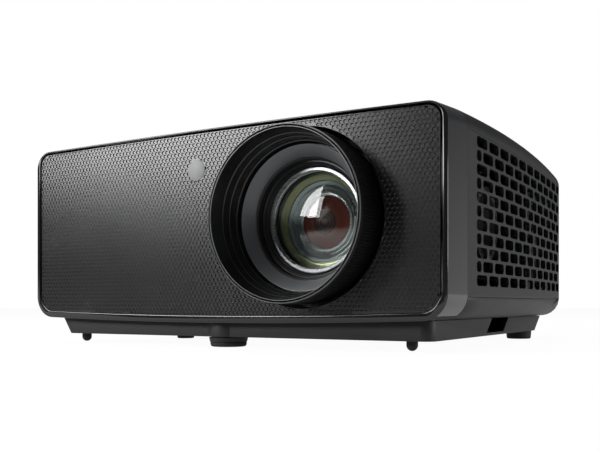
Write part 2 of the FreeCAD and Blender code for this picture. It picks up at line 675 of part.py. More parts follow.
def keypad():
    for name, x, y, size in KEYS:
        cap = [("0", "138"), (size, "138"), (size, "144"), ("%s - 0.6" % size, "144.6"), ("0", "144.6")]
        node(name + "_button", turned(name + "_button", "Z", cap, (x, y, "0")))
    board = box("key_board", ("key_x - 55", "key_x + 38"), ("key_y - 22", "key_y + 22"), ("133.6", "135.2"))
    switches = [box("key_switch_" + name, ("%s - 2.5" % x, "%s + 2.5" % x), ("%s - 2.5" % y, "%s + 2.5" % y), ("135.2", "136.6"))
                for name, x, y, size in KEYS]
    node("keypad_board", fuse("keypad_board_whole", board, *switches))
    node("status_lights", group("lights", *[rod("light_%d" % i, "Z", "1.6", "4.4", light_x(i), "key_y", "139.4")
                                            for i in range(3)]))
    node("top_ir_window", rod("top_ir_window", "Z", "6", "4", "window_top_x", "key_y", "140"))


# ---------------------------------------------------------------- light source and electronics

def fan(name, x_low, turn):
    half = "fan_half"
    body = box(name + "_block", (x_low, "%s + fan_thick" % x_low), ("fan_y - " + half, "fan_y + " + half),
               ("fan_z - " + half, "fan_z + " + half))
    bore = rod(name + "_bore", "X", "37.5", "fan_thick + 2", "%s - 1" % x_low, "fan_y", "fan_z")
    ring_cut = cut(name + "_ring", body, bore)
    hub = rod(name + "_hub", "X", "13", "3", x_low, "fan_y", "fan_z")
    arms = [box("%s_arm_%d" % (name, i), (x_low, "%s + 2.5" % x_low), ("fan_y - 2" if i else "fan_y - 38", "fan_y + 2" if i else "fan_y + 38"),
                ("fan_z - 38" if i else "fan_z - 2", "fan_z + 38" if i else "fan_z + 2")) for i in range(2)]
    node(name + "_frame", fuse(name + "_frame_whole", ring_cut, hub, *arms))
    core = rod(name + "_core", "X", "14", "13", "%s + 4" % x_low, "fan_y", "fan_z")
    blades = []
    for i in range(7):
        blade = doc.addObject("Part::Box", "%s_blade_%d" % (name, i))
        drive(blade, "Length", "12")
        drive(blade, "Width", "1.6")
        drive(blade, "Height", "23")
        spin = FreeCAD.Rotation(V(1, 0, 0), 360.0 / 7 * i)
        tilt = FreeCAD.Rotation(V(0, 0, 1), 38 * turn)
        centre = V(number("%s + 10.5" % x_low), number("front_plane + fan_y"), number("base_level + fan_z"))
        offset = FreeCAD.Placement(V(0, 0, 13), tilt) * FreeCAD.Placement(V(-6, -0.8, 0), FreeCAD.Rotation())
        blade.Placement = FreeCAD.Placement(centre, spin) * offset
        blades.append(blade)
    node(name + "_rotor", fuse(name + "_rotor_whole", core, *blades))


def light_source():
    middle = ("wheel_x", "wheel_y", "wheel_z")
    outer = box("wheel_case", ("wheel_x - 32", "wheel_x + 32"), ("wheel_y - 15", "wheel_y + 19"), ("wheel_z - 33", "wheel_z + 33"))
    inner = box("wheel_room", ("wheel_x - 29.5", "wheel_x + 29.5"), ("wheel_y - 12.5", "wheel_y + 16.5"),
                ("wheel_z - 30.5", "wheel_z + 30.5"))
    node("wheel_housing", cut("wheel_housing_cut", outer, inner))
    wheel = [("0", "0"), ("26", "0"), ("26", "1.2"), ("10", "1.2"), ("10", "12"), ("0", "12")]
    node("phosphor_wheel", turned("phosphor_wheel", "Y", wheel, middle))
    node("laser_module", box("laser_module", ("-60", "5"), ("110", "180"), ("40", "110")))
    base = box("sink_base", ("-66", "-60"), ("190", "280"), ("50", "115"))
    fins = [box("sink_fin_%d" % i, ("-125", "-66"), ("190", "280"), ("%.1f" % (50 + 4.2 * i), "%.1f" % (51 + 4.2 * i)))
            for i in range(16)]
    pipes = [rod("heat_pipe_%d" % i, "Y", "3", "95", "-57.5", "180", "%d" % z) for i, z in enumerate((62, 82, 102))]
    node("laser_heatsink", fuse("laser_heatsink_whole", base, *(fins + pipes)))
    body = box("engine_block", ("30", "112"), ("100", "170"), ("42", "112"))
    room = box("engine_room", ("34", "108"), ("104", "166"), ("46", "108"))
    port = rod("engine_port", "Y", "30", "8", "lens_x", "98", "lens_z")
    node("optical_engine", cut("optical_engine_cut", body, room, port))
    plate_base = box("chip_sink_base", ("50", "94"), ("170", "175"), ("56", "98"))
    chip_fins = [box("chip_fin_%d" % i, ("%d" % (50 + 6 * i), "%d + 1.5" % (50 + 6 * i)), ("175", "187"), ("56", "98"))
                 for i in range(8)]
    node("image_chip_heatsink", fuse("chip_sink_whole", plate_base, *chip_fins))


def electronics():
    board = box("main_board_plate", ("-50", "104"), ("192", "305"), ("board_top - 1.6", "board_top"))
    chips = [box("chip_%d" % i, ("%d" % x, "%d" % (x + w)), ("%d" % y, "%d" % (y + w)), ("board_top", "board_top + %d" % h))
             for i, (x, y, w, h) in enumerate(((0, 220, 30, 9), (50, 215, 18, 2), (50, 245, 18, 2), (-36, 250, 16, 6)))]
    node("main_board", fuse("main_board_whole", board, *chips))
    board = box("supply_plate", ("-150", "-72"), ("60", "172"), ("20", "21.6"))
    blocks = [box("supply_%d" % i, ("%d" % x, "%d" % (x + w)), ("%d" % y, "%d" % (y + d)), ("21.6", "21.6 + %d" % h))
              for i, (x, y, w, d, h) in enumerate(((-140, 70, 30, 26, 24), (-104, 70, 24, 40, 14), (-142, 130, 22, 30, 18)))]
    cans = [rod("supply_can_%d" % i, "Z", "8", "28", "-100 + %d" % (18 * i), "145", "21.6") for i in range(2)]
    node("power_supply", fuse("power_supply_whole", board, *(blocks + cans)))
    cone = [("0", "138"), ("10", "138"), ("10", "144"), ("14", "144"), ("24", "158"), ("26", "158"), ("26", "160"), ("22", "160"),
            ("12", "147"), ("0", "147")]
    node("speaker", turned("speaker", "X", cone, ("0", "100", "lens_z")))


def standing_solids(shape):
    return len(shape.Solids) > 0 and all(solid.isValid() for solid in shape.Solids)


front_frame()
front_panel()
rear_panel()
sockets()
base_pan()
feet()
lens()
lens_shift()
keypad()
fan("intake_fan", "-fan_x - fan_thick", 1)
fan("exhaust_fan", "fan_x", -1)
light_source()
electronics()
casing()
doc.recompute()

faults = [thing.Name for thing in doc.Objects if "Invalid" in thing.State or "Error" in thing.State]
for name, thing in NODES.items():
    if thing.Shape.isNull() or not thing.Shape.isValid() or not standing_solids(thing.Shape):
        faults.append(name)
if faults:
    raise RuntimeError("failed objects: " + ", ".join(faults))

os.makedirs("parts", exist_ok=True)
for name, thing in NODES.items():
    thing.Shape.exportStep("parts/%s.step" % name)
print(len(NODES), "sub-parts written")
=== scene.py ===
import json
import math

import bmesh
import bpy
from mathutils import Matrix, Vector

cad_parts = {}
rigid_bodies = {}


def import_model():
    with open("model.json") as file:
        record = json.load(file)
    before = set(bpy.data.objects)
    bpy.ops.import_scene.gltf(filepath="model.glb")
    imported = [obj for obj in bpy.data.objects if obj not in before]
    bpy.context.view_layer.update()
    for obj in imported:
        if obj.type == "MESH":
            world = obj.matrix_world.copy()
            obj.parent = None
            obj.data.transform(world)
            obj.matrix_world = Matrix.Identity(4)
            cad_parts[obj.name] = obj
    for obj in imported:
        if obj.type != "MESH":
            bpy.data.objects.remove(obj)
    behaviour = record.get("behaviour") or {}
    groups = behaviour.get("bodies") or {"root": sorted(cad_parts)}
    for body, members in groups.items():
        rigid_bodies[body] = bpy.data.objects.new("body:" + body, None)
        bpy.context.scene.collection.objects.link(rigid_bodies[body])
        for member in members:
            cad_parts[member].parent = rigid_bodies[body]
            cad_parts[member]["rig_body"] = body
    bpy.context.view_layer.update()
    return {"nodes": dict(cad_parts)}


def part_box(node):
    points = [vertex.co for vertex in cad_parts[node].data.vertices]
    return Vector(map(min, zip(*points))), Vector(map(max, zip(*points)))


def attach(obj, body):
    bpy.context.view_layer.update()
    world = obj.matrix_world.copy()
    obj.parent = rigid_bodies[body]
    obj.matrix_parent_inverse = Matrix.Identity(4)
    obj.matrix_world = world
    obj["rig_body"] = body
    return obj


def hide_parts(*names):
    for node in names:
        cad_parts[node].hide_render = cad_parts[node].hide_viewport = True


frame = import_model()

MM = 0.001
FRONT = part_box("front_frame")[0].y                       # front face of the casing
LENS_LOW, LENS_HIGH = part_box("focus_ring")
LENS = (LENS_LOW + LENS_HIGH) / 2
LENS_AXIS = Vector((LENS.x, FRONT, LENS.z))              # where the lens axis crosses the casing's front
TOUCHING = 1e-6                                          # corners closer than this are one corner


# ------------------------------------------------------------------ shader nodes in short

def add(tree, kind, settings=None, **links):
    """A shader node. settings are its properties; links are its sockets, by name or as i and a number, and
    each has a value or the socket that feeds it."""
    made = tree.nodes.new(kind)
    for key, value in (settings or {}).items():
        setattr(made, key, value)
    for key, value in links.items():
        numbered = key[0] == "i" and key[1:].isdigit()
        socket = made.inputs[int(key[1:]) if numbered else key.replace("_", " ")]
        if isinstance(value, bpy.types.NodeSocket):
            tree.links.new(value, socket)
        else:
            socket.default_value = value
    return made


def sum_of(tree, operation, *values):
    """One sum on values or sockets."""
    links = {"i%d" % place: value for place, value in enumerate(values)}
    return add(tree, "ShaderNodeMath", {"operation": operation}, **links).outputs[0]


def vector_sum(tree, operation, *vectors):
    """One sum on vectors or sockets, as the node that has its outcome."""
    links = {"i%d" % place: vector for place, vector in enumerate(vectors)}
    return add(tree, "ShaderNodeVectorMath", {"operation": operation}, **links)


def spread(tree, value, low, high, out_low, out_high):
    """Stretches low..high to out_low..out_high, held at both ends."""
    return add(tree, "ShaderNodeMapRange", i0=value, i1=low, i2=high, i3=out_low, i4=out_high).outputs[0]


def blend(tree, share, first, second):
    return add(tree, "ShaderNodeMix", {"data_type": "RGBA"}, i0=share, i6=first, i7=second).outputs[2]


def noise(tree, where, scale, detail, rough=0.5):
    made = add(tree, "ShaderNodeTexNoise", Vector=where, Scale=scale, Detail=detail, Roughness=rough)
    return made.outputs["Fac"]


def object_place(tree):
    return add(tree, "ShaderNodeTexCoord").outputs["Object"]


# ------------------------------------------------------------------ patterns that finishes share

COLOUR, NUMBER = "NodeSocketColor", "NodeSocketFloat"
BLACK = (0, 0, 0, 1)


def group(name, inputs, outputs):
    """A node group: its tree, the sockets it is given and the sockets it puts out."""
    tree = bpy.data.node_groups.new(name, "ShaderNodeTree")
    for label, kind, value in inputs:
        made = tree.interface.new_socket(label, in_out="INPUT", socket_type=kind)
        made.default_value = value
    for label, kind in outputs:
        tree.interface.new_socket(label, in_out="OUTPUT", socket_type=kind)
    return tree, tree.nodes.new("NodeGroupInput").outputs, tree.nodes.new("NodeGroupOutput").inputs


def pattern_group(name, *sizes):
    """A group that takes two tones, a gloss and two sizes, and puts out colour, roughness and height."""
    inputs = [("Tone", COLOUR, BLACK), ("Second Tone", COLOUR, BLACK), ("Rough", NUMBER, 0.4),
              ("Rough Spread", NUMBER, 0.05)]
    inputs += [(label, NUMBER, value) for label, value in sizes]
    return group(name, inputs, [("Color", COLOUR), ("Roughness", NUMBER), ("Height", NUMBER)])


def put_pattern(tree, given, put, share, height):
    """Blends the tones by share, lets the roughness drift with it and passes the height on."""
    tree.links.new(blend(tree, share, given["Tone"], given["Second Tone"]), put["Color"])
    drift = sum_of(tree, "MULTIPLY_ADD", share, given["Rough Spread"], given["Rough"])
    tree.links.new(drift, put["Roughness"])
    tree.links.new(height, put["Height"])


def moulding_group():
    """Spark-eroded mould grain: fine pips in the surface, slow cloudy drift in tone and gloss."""
    tree, given, put = pattern_group("moulding", ("Grain", 1500.0), ("Cloud", 25.0))
    where = object_place(tree)
    pips = noise(tree, where, given["Grain"], 2.0, 0.6)
    cloud = noise(tree, where, given["Cloud"], 4.0, 0.55)
    both = sum_of(tree, "MULTIPLY_ADD", pips, 0.35, cloud)
    put_pattern(tree, given, put, spread(tree, both, 0.45, 0.95, 0.0, 1.0), pips)
    return tree


def brushing_group():
    """Fine turned or drawn lines in metal, stretched along one direction."""
    tree, given, put = pattern_group("brushing", ("Across", 3000.0), ("Along", 60.0))
    size = add(tree, "ShaderNodeCombineXYZ", X=given["Along"], Y=given["Along"], Z=given["Across"])
    drawn = vector_sum(tree, "MULTIPLY", object_place(tree), size.outputs[0])
    lines = noise(tree, drawn.outputs[0], 1.0, 3.0, 0.7)
    put_pattern(tree, given, put, lines, lines)
    return tree


def dust_group():
    """A thin settling of dust on faces that look up, broken by noise."""
    tree, given, put = group("dust", [("Amount", NUMBER, 0.1), ("Scale", NUMBER, 300.0)], [("Mask", NUMBER)])
    facing = add(tree, "ShaderNodeSeparateXYZ", Vector=add(tree, "ShaderNodeNewGeometry").outputs["Normal"])
    level = spread(tree, facing.outputs["Z"], 0.6, 1.0, 0.0, 1.0)
    broken = sum_of(tree, "MULTIPLY", level, noise(tree, object_place(tree), given["Scale"], 3.0))
    tree.links.new(sum_of(tree, "MULTIPLY", broken, given["Amount"]), put["Mask"])
    return tree


MOULDING, BRUSHING, DUST = moulding_group(), brushing_group(), dust_group()


# ------------------------------------------------------------------ finishes

DUST_TONE, DUST_SPECKS = (0.35, 0.34, 0.33, 1), 300.0
FINISHES = {}


def new_finish(name):
    """An empty finish: its node tree and its Principled shader."""
    made = bpy.data.materials.new(name)
    made.use_nodes = True
    FINISHES[name] = made
    return made.node_tree, made.node_tree.nodes["Principled BSDF"]


def finish(name, pattern, tone, second, rough, drift, sizes, relief=0.0, dust=0.0, **sockets):
    """A pattern group that feeds one Principled shader, with a relief in metres and dust where given."""
    tree, shader = new_finish(name)
    look = add(tree, "ShaderNodeGroup", {"node_tree": pattern}, i0=(*tone, 1), i1=(*second, 1), i2=rough,
               i3=drift, i4=sizes[0], i5=sizes[1])
    colour = look.outputs["Color"]
    if dust:
        mask = add(tree, "ShaderNodeGroup", {"node_tree": DUST}, Amount=dust, Scale=DUST_SPECKS)
        colour = blend(tree, mask.outputs[0], colour, DUST_TONE)
    tree.links.new(colour, shader.inputs["Base Color"])
    tree.links.new(look.outputs["Roughness"], shader.inputs["Roughness"])
    if relief:
        bump = add(tree, "ShaderNodeBump", Strength=1.0, Distance=relief, Height=look.outputs["Height"])
        tree.links.new(bump.outputs[0], shader.inputs["Normal"])
    for key, value in sockets.items():
        shader.inputs[key.replace("_", " ")].default_value = value


def grey(level, warm=0.0):
    """A near-neutral tone, redder where warm is above nought and bluer below."""
    return (level * (1 + warm), level, level * (1 - warm))


# moulded plastic and rubber: two tones, roughness and its drift, sizes of grain and cloud, grain depth, dust
finish("piano_black", MOULDING, grey(0.005), grey(0.008), 0.11, 0.04, (900, 18), 0.0, 0.05,
       Coat_Weight=0.6, Coat_Roughness=0.06)
finish("pressed_panel_black", MOULDING, grey(0.006, -0.04), grey(0.009, -0.04), 0.24, 0.04, (2200, 20), 4e-6,
       Coat_Weight=0.35, Coat_Roughness=0.22)
finish("panel_grain_charcoal", MOULDING, grey(0.014, -0.06), grey(0.020, -0.06), 0.38, 0.07, (2400, 22),
       1.2e-5, 0.04)
finish("cover_grain_black", MOULDING, grey(0.010, -0.05), grey(0.016, -0.05), 0.40, 0.08, (2200, 26),
       1.4e-5, 0.06)
finish("base_grain_black", MOULDING, grey(0.012, -0.05), grey(0.019, -0.05), 0.48, 0.08, (1500, 30), 2.2e-5)
finish("hood_black", MOULDING, grey(0.008), grey(0.012), 0.28, 0.05, (2500, 40), 6e-6,
       Coat_Weight=0.3, Coat_Roughness=0.24)
finish("bore_black", MOULDING, grey(0.006), grey(0.010), 0.5, 0.1, (1800, 60), 1e-5)
finish("name_ring_satin", MOULDING, grey(0.17, -0.03), grey(0.22, -0.03), 0.36, 0.05, (2600, 60), 6e-6,
       Metallic=0.3)
finish("window_grey", MOULDING, grey(0.30, -0.01), grey(0.34, -0.01), 0.45, 0.08, (2600, 60), 4e-6)
finish("matte_black", MOULDING, grey(0.010), grey(0.015), 0.55, 0.1, (1600, 40), 2e-5)
finish("foot_rubber", MOULDING, grey(0.011), grey(0.017), 0.62, 0.12, (1200, 50), 4e-5)
finish("key_black", MOULDING, grey(0.012), grey(0.018), 0.35, 0.08, (2400, 50), 8e-6, 0.05)
finish("fan_black", MOULDING, grey(0.012), grey(0.018), 0.38, 0.1, (1500, 50), 1e-5)
finish("ink_white", MOULDING, grey(0.55), grey(0.62), 0.5, 0.08, (2600, 60))
finish("window_dark", MOULDING, (0.012, 0.006, 0.008), (0.016, 0.008, 0.010), 0.08, 0.04, (2600, 60),
       Coat_Weight=0.8, Coat_Roughness=0.03)
finish("board_green", MOULDING, (0.010, 0.055, 0.028), (0.016, 0.085, 0.040), 0.35, 0.12, (700, 90), 2e-5,
       Coat_Weight=0.3, Coat_Roughness=0.2)
finish("light_clear", MOULDING, (0.55, 0.62, 0.66), (0.65, 0.70, 0.74), 0.25, 0.05, (900, 60),
       Coat_Weight=0.5, Coat_Roughness=0.1)
# metal: two tones, roughness and its drift, lines across and along, line depth
finish("hood_rim_satin", BRUSHING, grey(0.16, -0.02), grey(0.24, -0.02), 0.30, 0.08, (3500, 90))
finish("ring_silver", BRUSHING, grey(0.42, -0.02), grey(0.60, -0.02), 0.22, 0.12, (4200, 120), Metallic=1.0)
finish("screw_steel", BRUSHING, grey(0.45), grey(0.60), 0.28, 0.12, (3000, 200), Metallic=1.0)
finish("insert_brass", BRUSHING, (0.55, 0.38, 0.14), (0.68, 0.48, 0.20), 0.30, 0.12, (3000, 200),
       Metallic=1.0)
finish("frame_metal", BRUSHING, grey(0.34, -0.02), grey(0.48, -0.02), 0.36, 0.14, (1800, 40), 4e-6,
       Metallic=1.0)
finish("sink_metal", BRUSHING, grey(0.55, -0.01), grey(0.68, -0.01), 0.34, 0.14, (2200, 60), 4e-6,
       Metallic=1.0)
finish("socket_metal", BRUSHING, grey(0.50), grey(0.66), 0.26, 0.12, (2600, 120), 2e-6, Metallic=1.0)
finish("wheel_metal", BRUSHING, (0.62, 0.50, 0.16), (0.72, 0.62, 0.24), 0.30, 0.15, (2600, 120),
       Metallic=0.6)
# coloured reflections of the lens coatings, painted as the tone of the inner cell's rings
finish("painted_coating_reflection_green", MOULDING, (0.26, 0.28, 0.14), (0.34, 0.36, 0.20), 0.30, 0.06, (2600, 90),
       Metallic=0.6)
finish("painted_coating_reflection_teal", MOULDING, (0.26, 0.30, 0.30), (0.34, 0.39, 0.39), 0.26, 0.06, (2600, 90),
       Metallic=0.9)


def lens_glass():
    """Clear coated glass: the coating's tint shows where the surface turns away."""
    tree, shader = new_finish("lens_glass")
    turned_away = add(tree, "ShaderNodeLayerWeight", Blend=0.35).outputs["Facing"]
    tone = blend(tree, turned_away, (0.96, 0.98, 0.97, 1), (0.80, 0.93, 0.84, 1))
    smear = noise(tree, object_place(tree), 60.0, 2.0)
    tree.links.new(tone, shader.inputs["Base Color"])
    tree.links.new(spread(tree, smear, 0.3, 0.8, 0.0, 0.03), shader.inputs["Roughness"])
    shader.inputs["Transmission Weight"].default_value = 1.0
    shader.inputs["IOR"].default_value = 1.52
    shader.inputs["Specular IOR Level"].default_value = 0.16


def element_with_painted_reflection_rings(name, bands):
    """A deep coated element seen end on: rings of tone by the distance from the lens axis in mm, painted
    reflections that stand in for the coated surfaces and inner rings a real glass element mirrors.
    """
    tree, shader = new_finish(name)
    centred = vector_sum(tree, "SUBTRACT", object_place(tree), LENS_AXIS).outputs[0]
    flat = vector_sum(tree, "MULTIPLY", centred, (1, 0, 1)).outputs[0]
    far = vector_sum(tree, "LENGTH", flat).outputs["Value"]
    edge, edge_tone = bands[-1]
    ramp = add(tree, "ShaderNodeValToRGB", i0=spread(tree, far, 0.0, edge * MM, 0.0, 1.0))
    stops = ramp.color_ramp.elements
    for radius, tone in bands[1:-1]:
        stops.new(radius / edge).color = (*tone, 1)
    stops[0].color = (*bands[0][1], 1)
    stops[len(stops) - 1].color = (*edge_tone, 1)
    cloud = noise(tree, centred, 90.0, 2.0)
    tree.links.new(ramp.outputs["Color"], shader.inputs["Base Color"])
    tree.links.new(spread(tree, cloud, 0.3, 0.8, 0.14, 0.22), shader.inputs["Roughness"])
    shader.inputs["Specular IOR Level"].default_value = 0.12


lens_glass()
# the red element: the coating's own red tint, with lighter and darker rings that are painted reflections
element_with_painted_reflection_rings("red_element_painted_reflections", [
    (0.0, (0.16, 0.08, 0.08)), (1.6, (0.09, 0.05, 0.05)), (3.4, (0.035, 0.020, 0.020)),
    (4.0, (0.11, 0.06, 0.05)), (5.2, (0.045, 0.025, 0.020)), (6.4, (0.09, 0.045, 0.035)),
    (7.6, (0.030, 0.012, 0.008)), (8.6, (0.16, 0.040, 0.020)), (12.5, (0.13, 0.022, 0.010)),
    (16.6, (0.20, 0.035, 0.014)), (17.6, (0.02, 0.005, 0.003)), (25.0, (0.005, 0.004, 0.004))])


# ------------------------------------------------------------------ shaping helpers

def place(bm, name, body, look, slot, stands_for=(), smooth_angle=35.0):
    """Closes the doubles, turns the faces outwards and makes the piece that rides on body."""
    bmesh.ops.remove_doubles(bm, verts=bm.verts, dist=TOUCHING)
    bmesh.ops.recalc_face_normals(bm, faces=bm.faces)
    mesh = bpy.data.meshes.new(name)
    bm.to_mesh(mesh)
    bm.free()
    mesh.materials.append(FINISHES[look])
    mesh.shade_smooth()
    mesh.set_sharp_from_angle(angle=math.radians(smooth_angle))
    piece = bpy.data.objects.new(name, mesh)
    bpy.context.scene.collection.objects.link(piece)
    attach(piece, body)
    if stands_for:
        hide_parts(*stands_for)


def lathe(profile, steps):
    """Turns a closed profile of (radius, depth behind the casing's front) in mm about the lens axis."""
    bm = bmesh.new()
    ring = [bm.verts.new(LENS_AXIS + Vector((radius * MM, depth * MM, 0))) for radius, depth in profile]
    edges = [bm.edges.new(pair) for pair in zip(ring, ring[1:] + ring[:1])]
    bmesh.ops.spin(bm, geom=ring + edges, cent=LENS_AXIS, axis=(0, 1, 0), dvec=(0, 0, 0), angle=math.tau,
                   steps=steps, use_merge=True, use_duplicate=False)
    bmesh.ops.remove_doubles(bm, verts=bm.verts, dist=TOUCHING)
    return bm


def merged_copy(node):
    """A CAD node's mesh with its doubles merged and its flat faces made whole."""
    bm = bmesh.new()
    bm.from_mesh(frame["nodes"][node].data)
    bmesh.ops.remove_doubles(bm, verts=bm.verts, dist=2 * TOUCHING)
    bmesh.ops.dissolve_limit(bm, angle_limit=math.radians(0.05), verts=bm.verts, edges=bm.edges)
    return bm


# ------------------------------------------------------------------ the dimpled front panel

PITCH, ROW = 3.2 * MM, 2.8 * MM                          # dimples: along a row, from row to row
LAND, SLOPE, DIMPLE_DEPTH = 0.36 * MM, 0.62 * MM, 0.6 * MM
WHOLE_CELL = 0.62                                        # the least share of a cell that gets a dimple
LENS_HOLE, WINDOW_HOLE = 57.5 * MM, 7.1 * MM             # radii within which a hole takes the cells
ACROSS = Vector((1, 0, 1))


def from_axis(point, centre):
    """How far the point is from a hole's axis, seen from the front."""
    return ((point - centre) * ACROSS).length


def panel_edges(face_y):
    """The CAD panel's edge lines at its front face, as (point, direction out of the panel)."""
    blank = merged_copy("front_panel")
    blank.normal_update()
    lines = []
    for edge in blank.edges:
        if all(abs(v.co.y - face_y) < TOUCHING for v in edge.verts):
            walls = [f.normal for f in edge.link_faces if abs(f.normal.y) < 0.9]
            if walls:
                out = Vector((walls[0].x, 0, walls[0].z)).normalized()
                lines.append(((edge.verts[0].co + edge.verts[1].co) / 2, out))
    blank.free()
    return lines


def honeycomb(low, high):
    """A sheet of six-sided cells: oblongs in brick bond, with their corners pulled up and down in turn."""
    columns = 2 * math.ceil((high.x - low.x) / PITCH) + 2
    rows = math.ceil((high.z - low.z) / ROW) + 1
    width, height = columns * PITCH / 2, rows * ROW
    corner = Vector(((low.x + high.x - width) / 2, low.y, (low.z + high.z - height) / 2))
    bm = bmesh.new()
    bmesh.ops.create_grid(bm, x_segments=columns, y_segments=rows, size=0.5)
    middle = Matrix.Translation(corner + Vector((width / 2, 0, height / 2)))
    upright = Matrix.Rotation(math.pi / 2, 4, "X")
    bmesh.ops.transform(bm, verts=bm.verts, matrix=middle @ upright @ Matrix.Diagonal((width, height, 1, 1)))

    def column(x):
        return round((x - corner.x) / (PITCH / 2))

    joined = []
    for edge in bm.edges:
        a, b = (v.co for v in edge.verts)
        row = math.floor(((a.z + b.z) / 2 - corner.z) / ROW)
        if abs(a.x - b.x) < 1e-7 and (column(a.x) + row) % 2 and len(edge.link_faces) == 2:
            joined.append(edge)
    bmesh.ops.dissolve_edges(bm, edges=joined, use_verts=False)
    for vert in bm.verts:
        line = round((vert.co.z - corner.z) / ROW)
        vert.co.z += ROW / 6 if (column(vert.co.x) + line) % 2 == 0 else -ROW / 6
    return bm


def trim(bm, lines, holes):
    """Cuts the sheet to the panel's outline and opens its holes, each cell staying one face."""
    cell_of = bm.faces.layers.int.new("cell")
    for count, face in enumerate(bm.faces):
        face[cell_of] = count
    for point, out in lines:
        if not any(abs(from_axis(point, centre) - radius) < 0.3 * MM for centre, radius in holes):
            bmesh.ops.bisect_plane(bm, geom=bm.verts[:] + bm.edges[:] + bm.faces[:], dist=1e-7,
                                   plane_co=point, plane_no=out, clear_outer=True)
            continue
        near = [f for f in bm.faces if (f.calc_center_median() - point).length < 1.4 * PITCH]
        geom = {e for f in near for e in f.edges} | {v for f in near for v in f.verts} | set(near)
        bmesh.ops.bisect_plane(bm, geom=list(geom), dist=1e-7, plane_co=point, plane_no=out)
    inside = [f for f in bm.faces
              if any(from_axis(f.calc_center_median(), centre) < radius for centre, radius in holes)]
    bmesh.ops.delete(bm, geom=inside, context="FACES")
    split = [e for e in bm.edges
             if len(e.link_faces) == 2 and e.link_faces[0][cell_of] == e.link_faces[1][cell_of]]
    bmesh.ops.dissolve_edges(bm, edges=split, use_verts=True)


def thicken(bm, depth):
    """Gives the sheet its walls and a flat back."""
    rim = [e for e in bm.edges if e.is_boundary]
    walls = bmesh.ops.extrude_edge_only(bm, edges=rim)["geom"]
    bmesh.ops.translate(bm, vec=(0, depth, 0), verts=[v for v in walls if isinstance(v, bmesh.types.BMVert)])
    back = [e for e in walls if isinstance(e, bmesh.types.BMEdge) and e.is_boundary]
    bmesh.ops.triangle_fill(bm, use_beauty=True, edges=back)


def dimpled_panel():
    low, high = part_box("front_panel")
    window_low, window_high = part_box("front_ir_window")
    holes = [(LENS_AXIS, LENS_HOLE), ((window_low + window_high) / 2, WINDOW_HOLE)]
    lines = panel_edges(low.y)
    bm = honeycomb(low, high)
    trim(bm, lines, holes)
    cells = [f for f in bm.faces if f.calc_area() > WHOLE_CELL * PITCH * ROW]
    thicken(bm, high.y - low.y)
    bmesh.ops.inset_individual(bm, faces=cells, thickness=LAND)
    bmesh.ops.inset_individual(bm, faces=cells, thickness=SLOPE, depth=-DIMPLE_DEPTH)
    place(bm, "dimpled_front_panel", "chassis", "pressed_panel_black", "textured_black", ["front_panel"],
          30.0)


dimpled_panel()


# ------------------------------------------------------------------ the lens

GLASS_STEPS, CELL_STEPS, RING_STEPS, RIB_STEPS = 128, 160, 180, 360    # round the lens axis
GRIP_START, GRIP_END, GRIP_RADIUS = -22.5 * MM, -3.5 * MM, 54 * MM     # the ribbed stretch of the hood
GROOVE_MARGIN, GROOVE_DEPTH = 0.22 * MM, 0.4 * MM


def ribbed_hood():
    """Focus ring and hood in one: fine grip ribs outside, stepped cone inside."""
    bm = lathe([(52.3, -24.4), (52.6, -25), (53.7, -25), (54.3, -24.4), (54.3, -22.6), (54.3, -3.4),
                (54.3, 7), (53.3, 8), (47, 8), (47, 20), (44.1, 20), (44.1, 5), (47.4, 5), (47.9, -1.6),
                (48.5, -2.0), (49.2, -8.0), (49.7, -8.4), (50.3, -14.0), (50.9, -14.4), (51.6, -20)],
               RIB_STEPS)
    grooves = []
    for face in bm.faces:
        centre = face.calc_center_median() - LENS_AXIS
        on_grip = GRIP_START < centre.y < GRIP_END and math.hypot(centre.x, centre.z) > GRIP_RADIUS
        if on_grip and round(math.degrees(math.atan2(centre.z, centre.x)) - 0.5) % 2 == 0:
            grooves.append(face)
    bmesh.ops.inset_individual(bm, faces=grooves, thickness=GROOVE_MARGIN, depth=-GROOVE_DEPTH,
                               use_even_offset=True)
    place(bm, "hood_and_focus_ring", "focus_ring", "hood_black", "hood_black", ["focus_ring"], 40.0)


def front_glass_profile():
    """A front face bulging on a sphere, a rim, and a hollow back."""
    bulge, crown = 118.0, 17.4
    front = [(r, crown + bulge - math.sqrt(bulge ** 2 - r ** 2)) for r in range(0, 33, 2)]
    return front + [(34.3, 22.6), (34.3, 30), (29, 30), (24, 28.3), (20, 27.2), (15, 26.2), (10, 25.5),
                    (5, 25.1), (0, 25)]


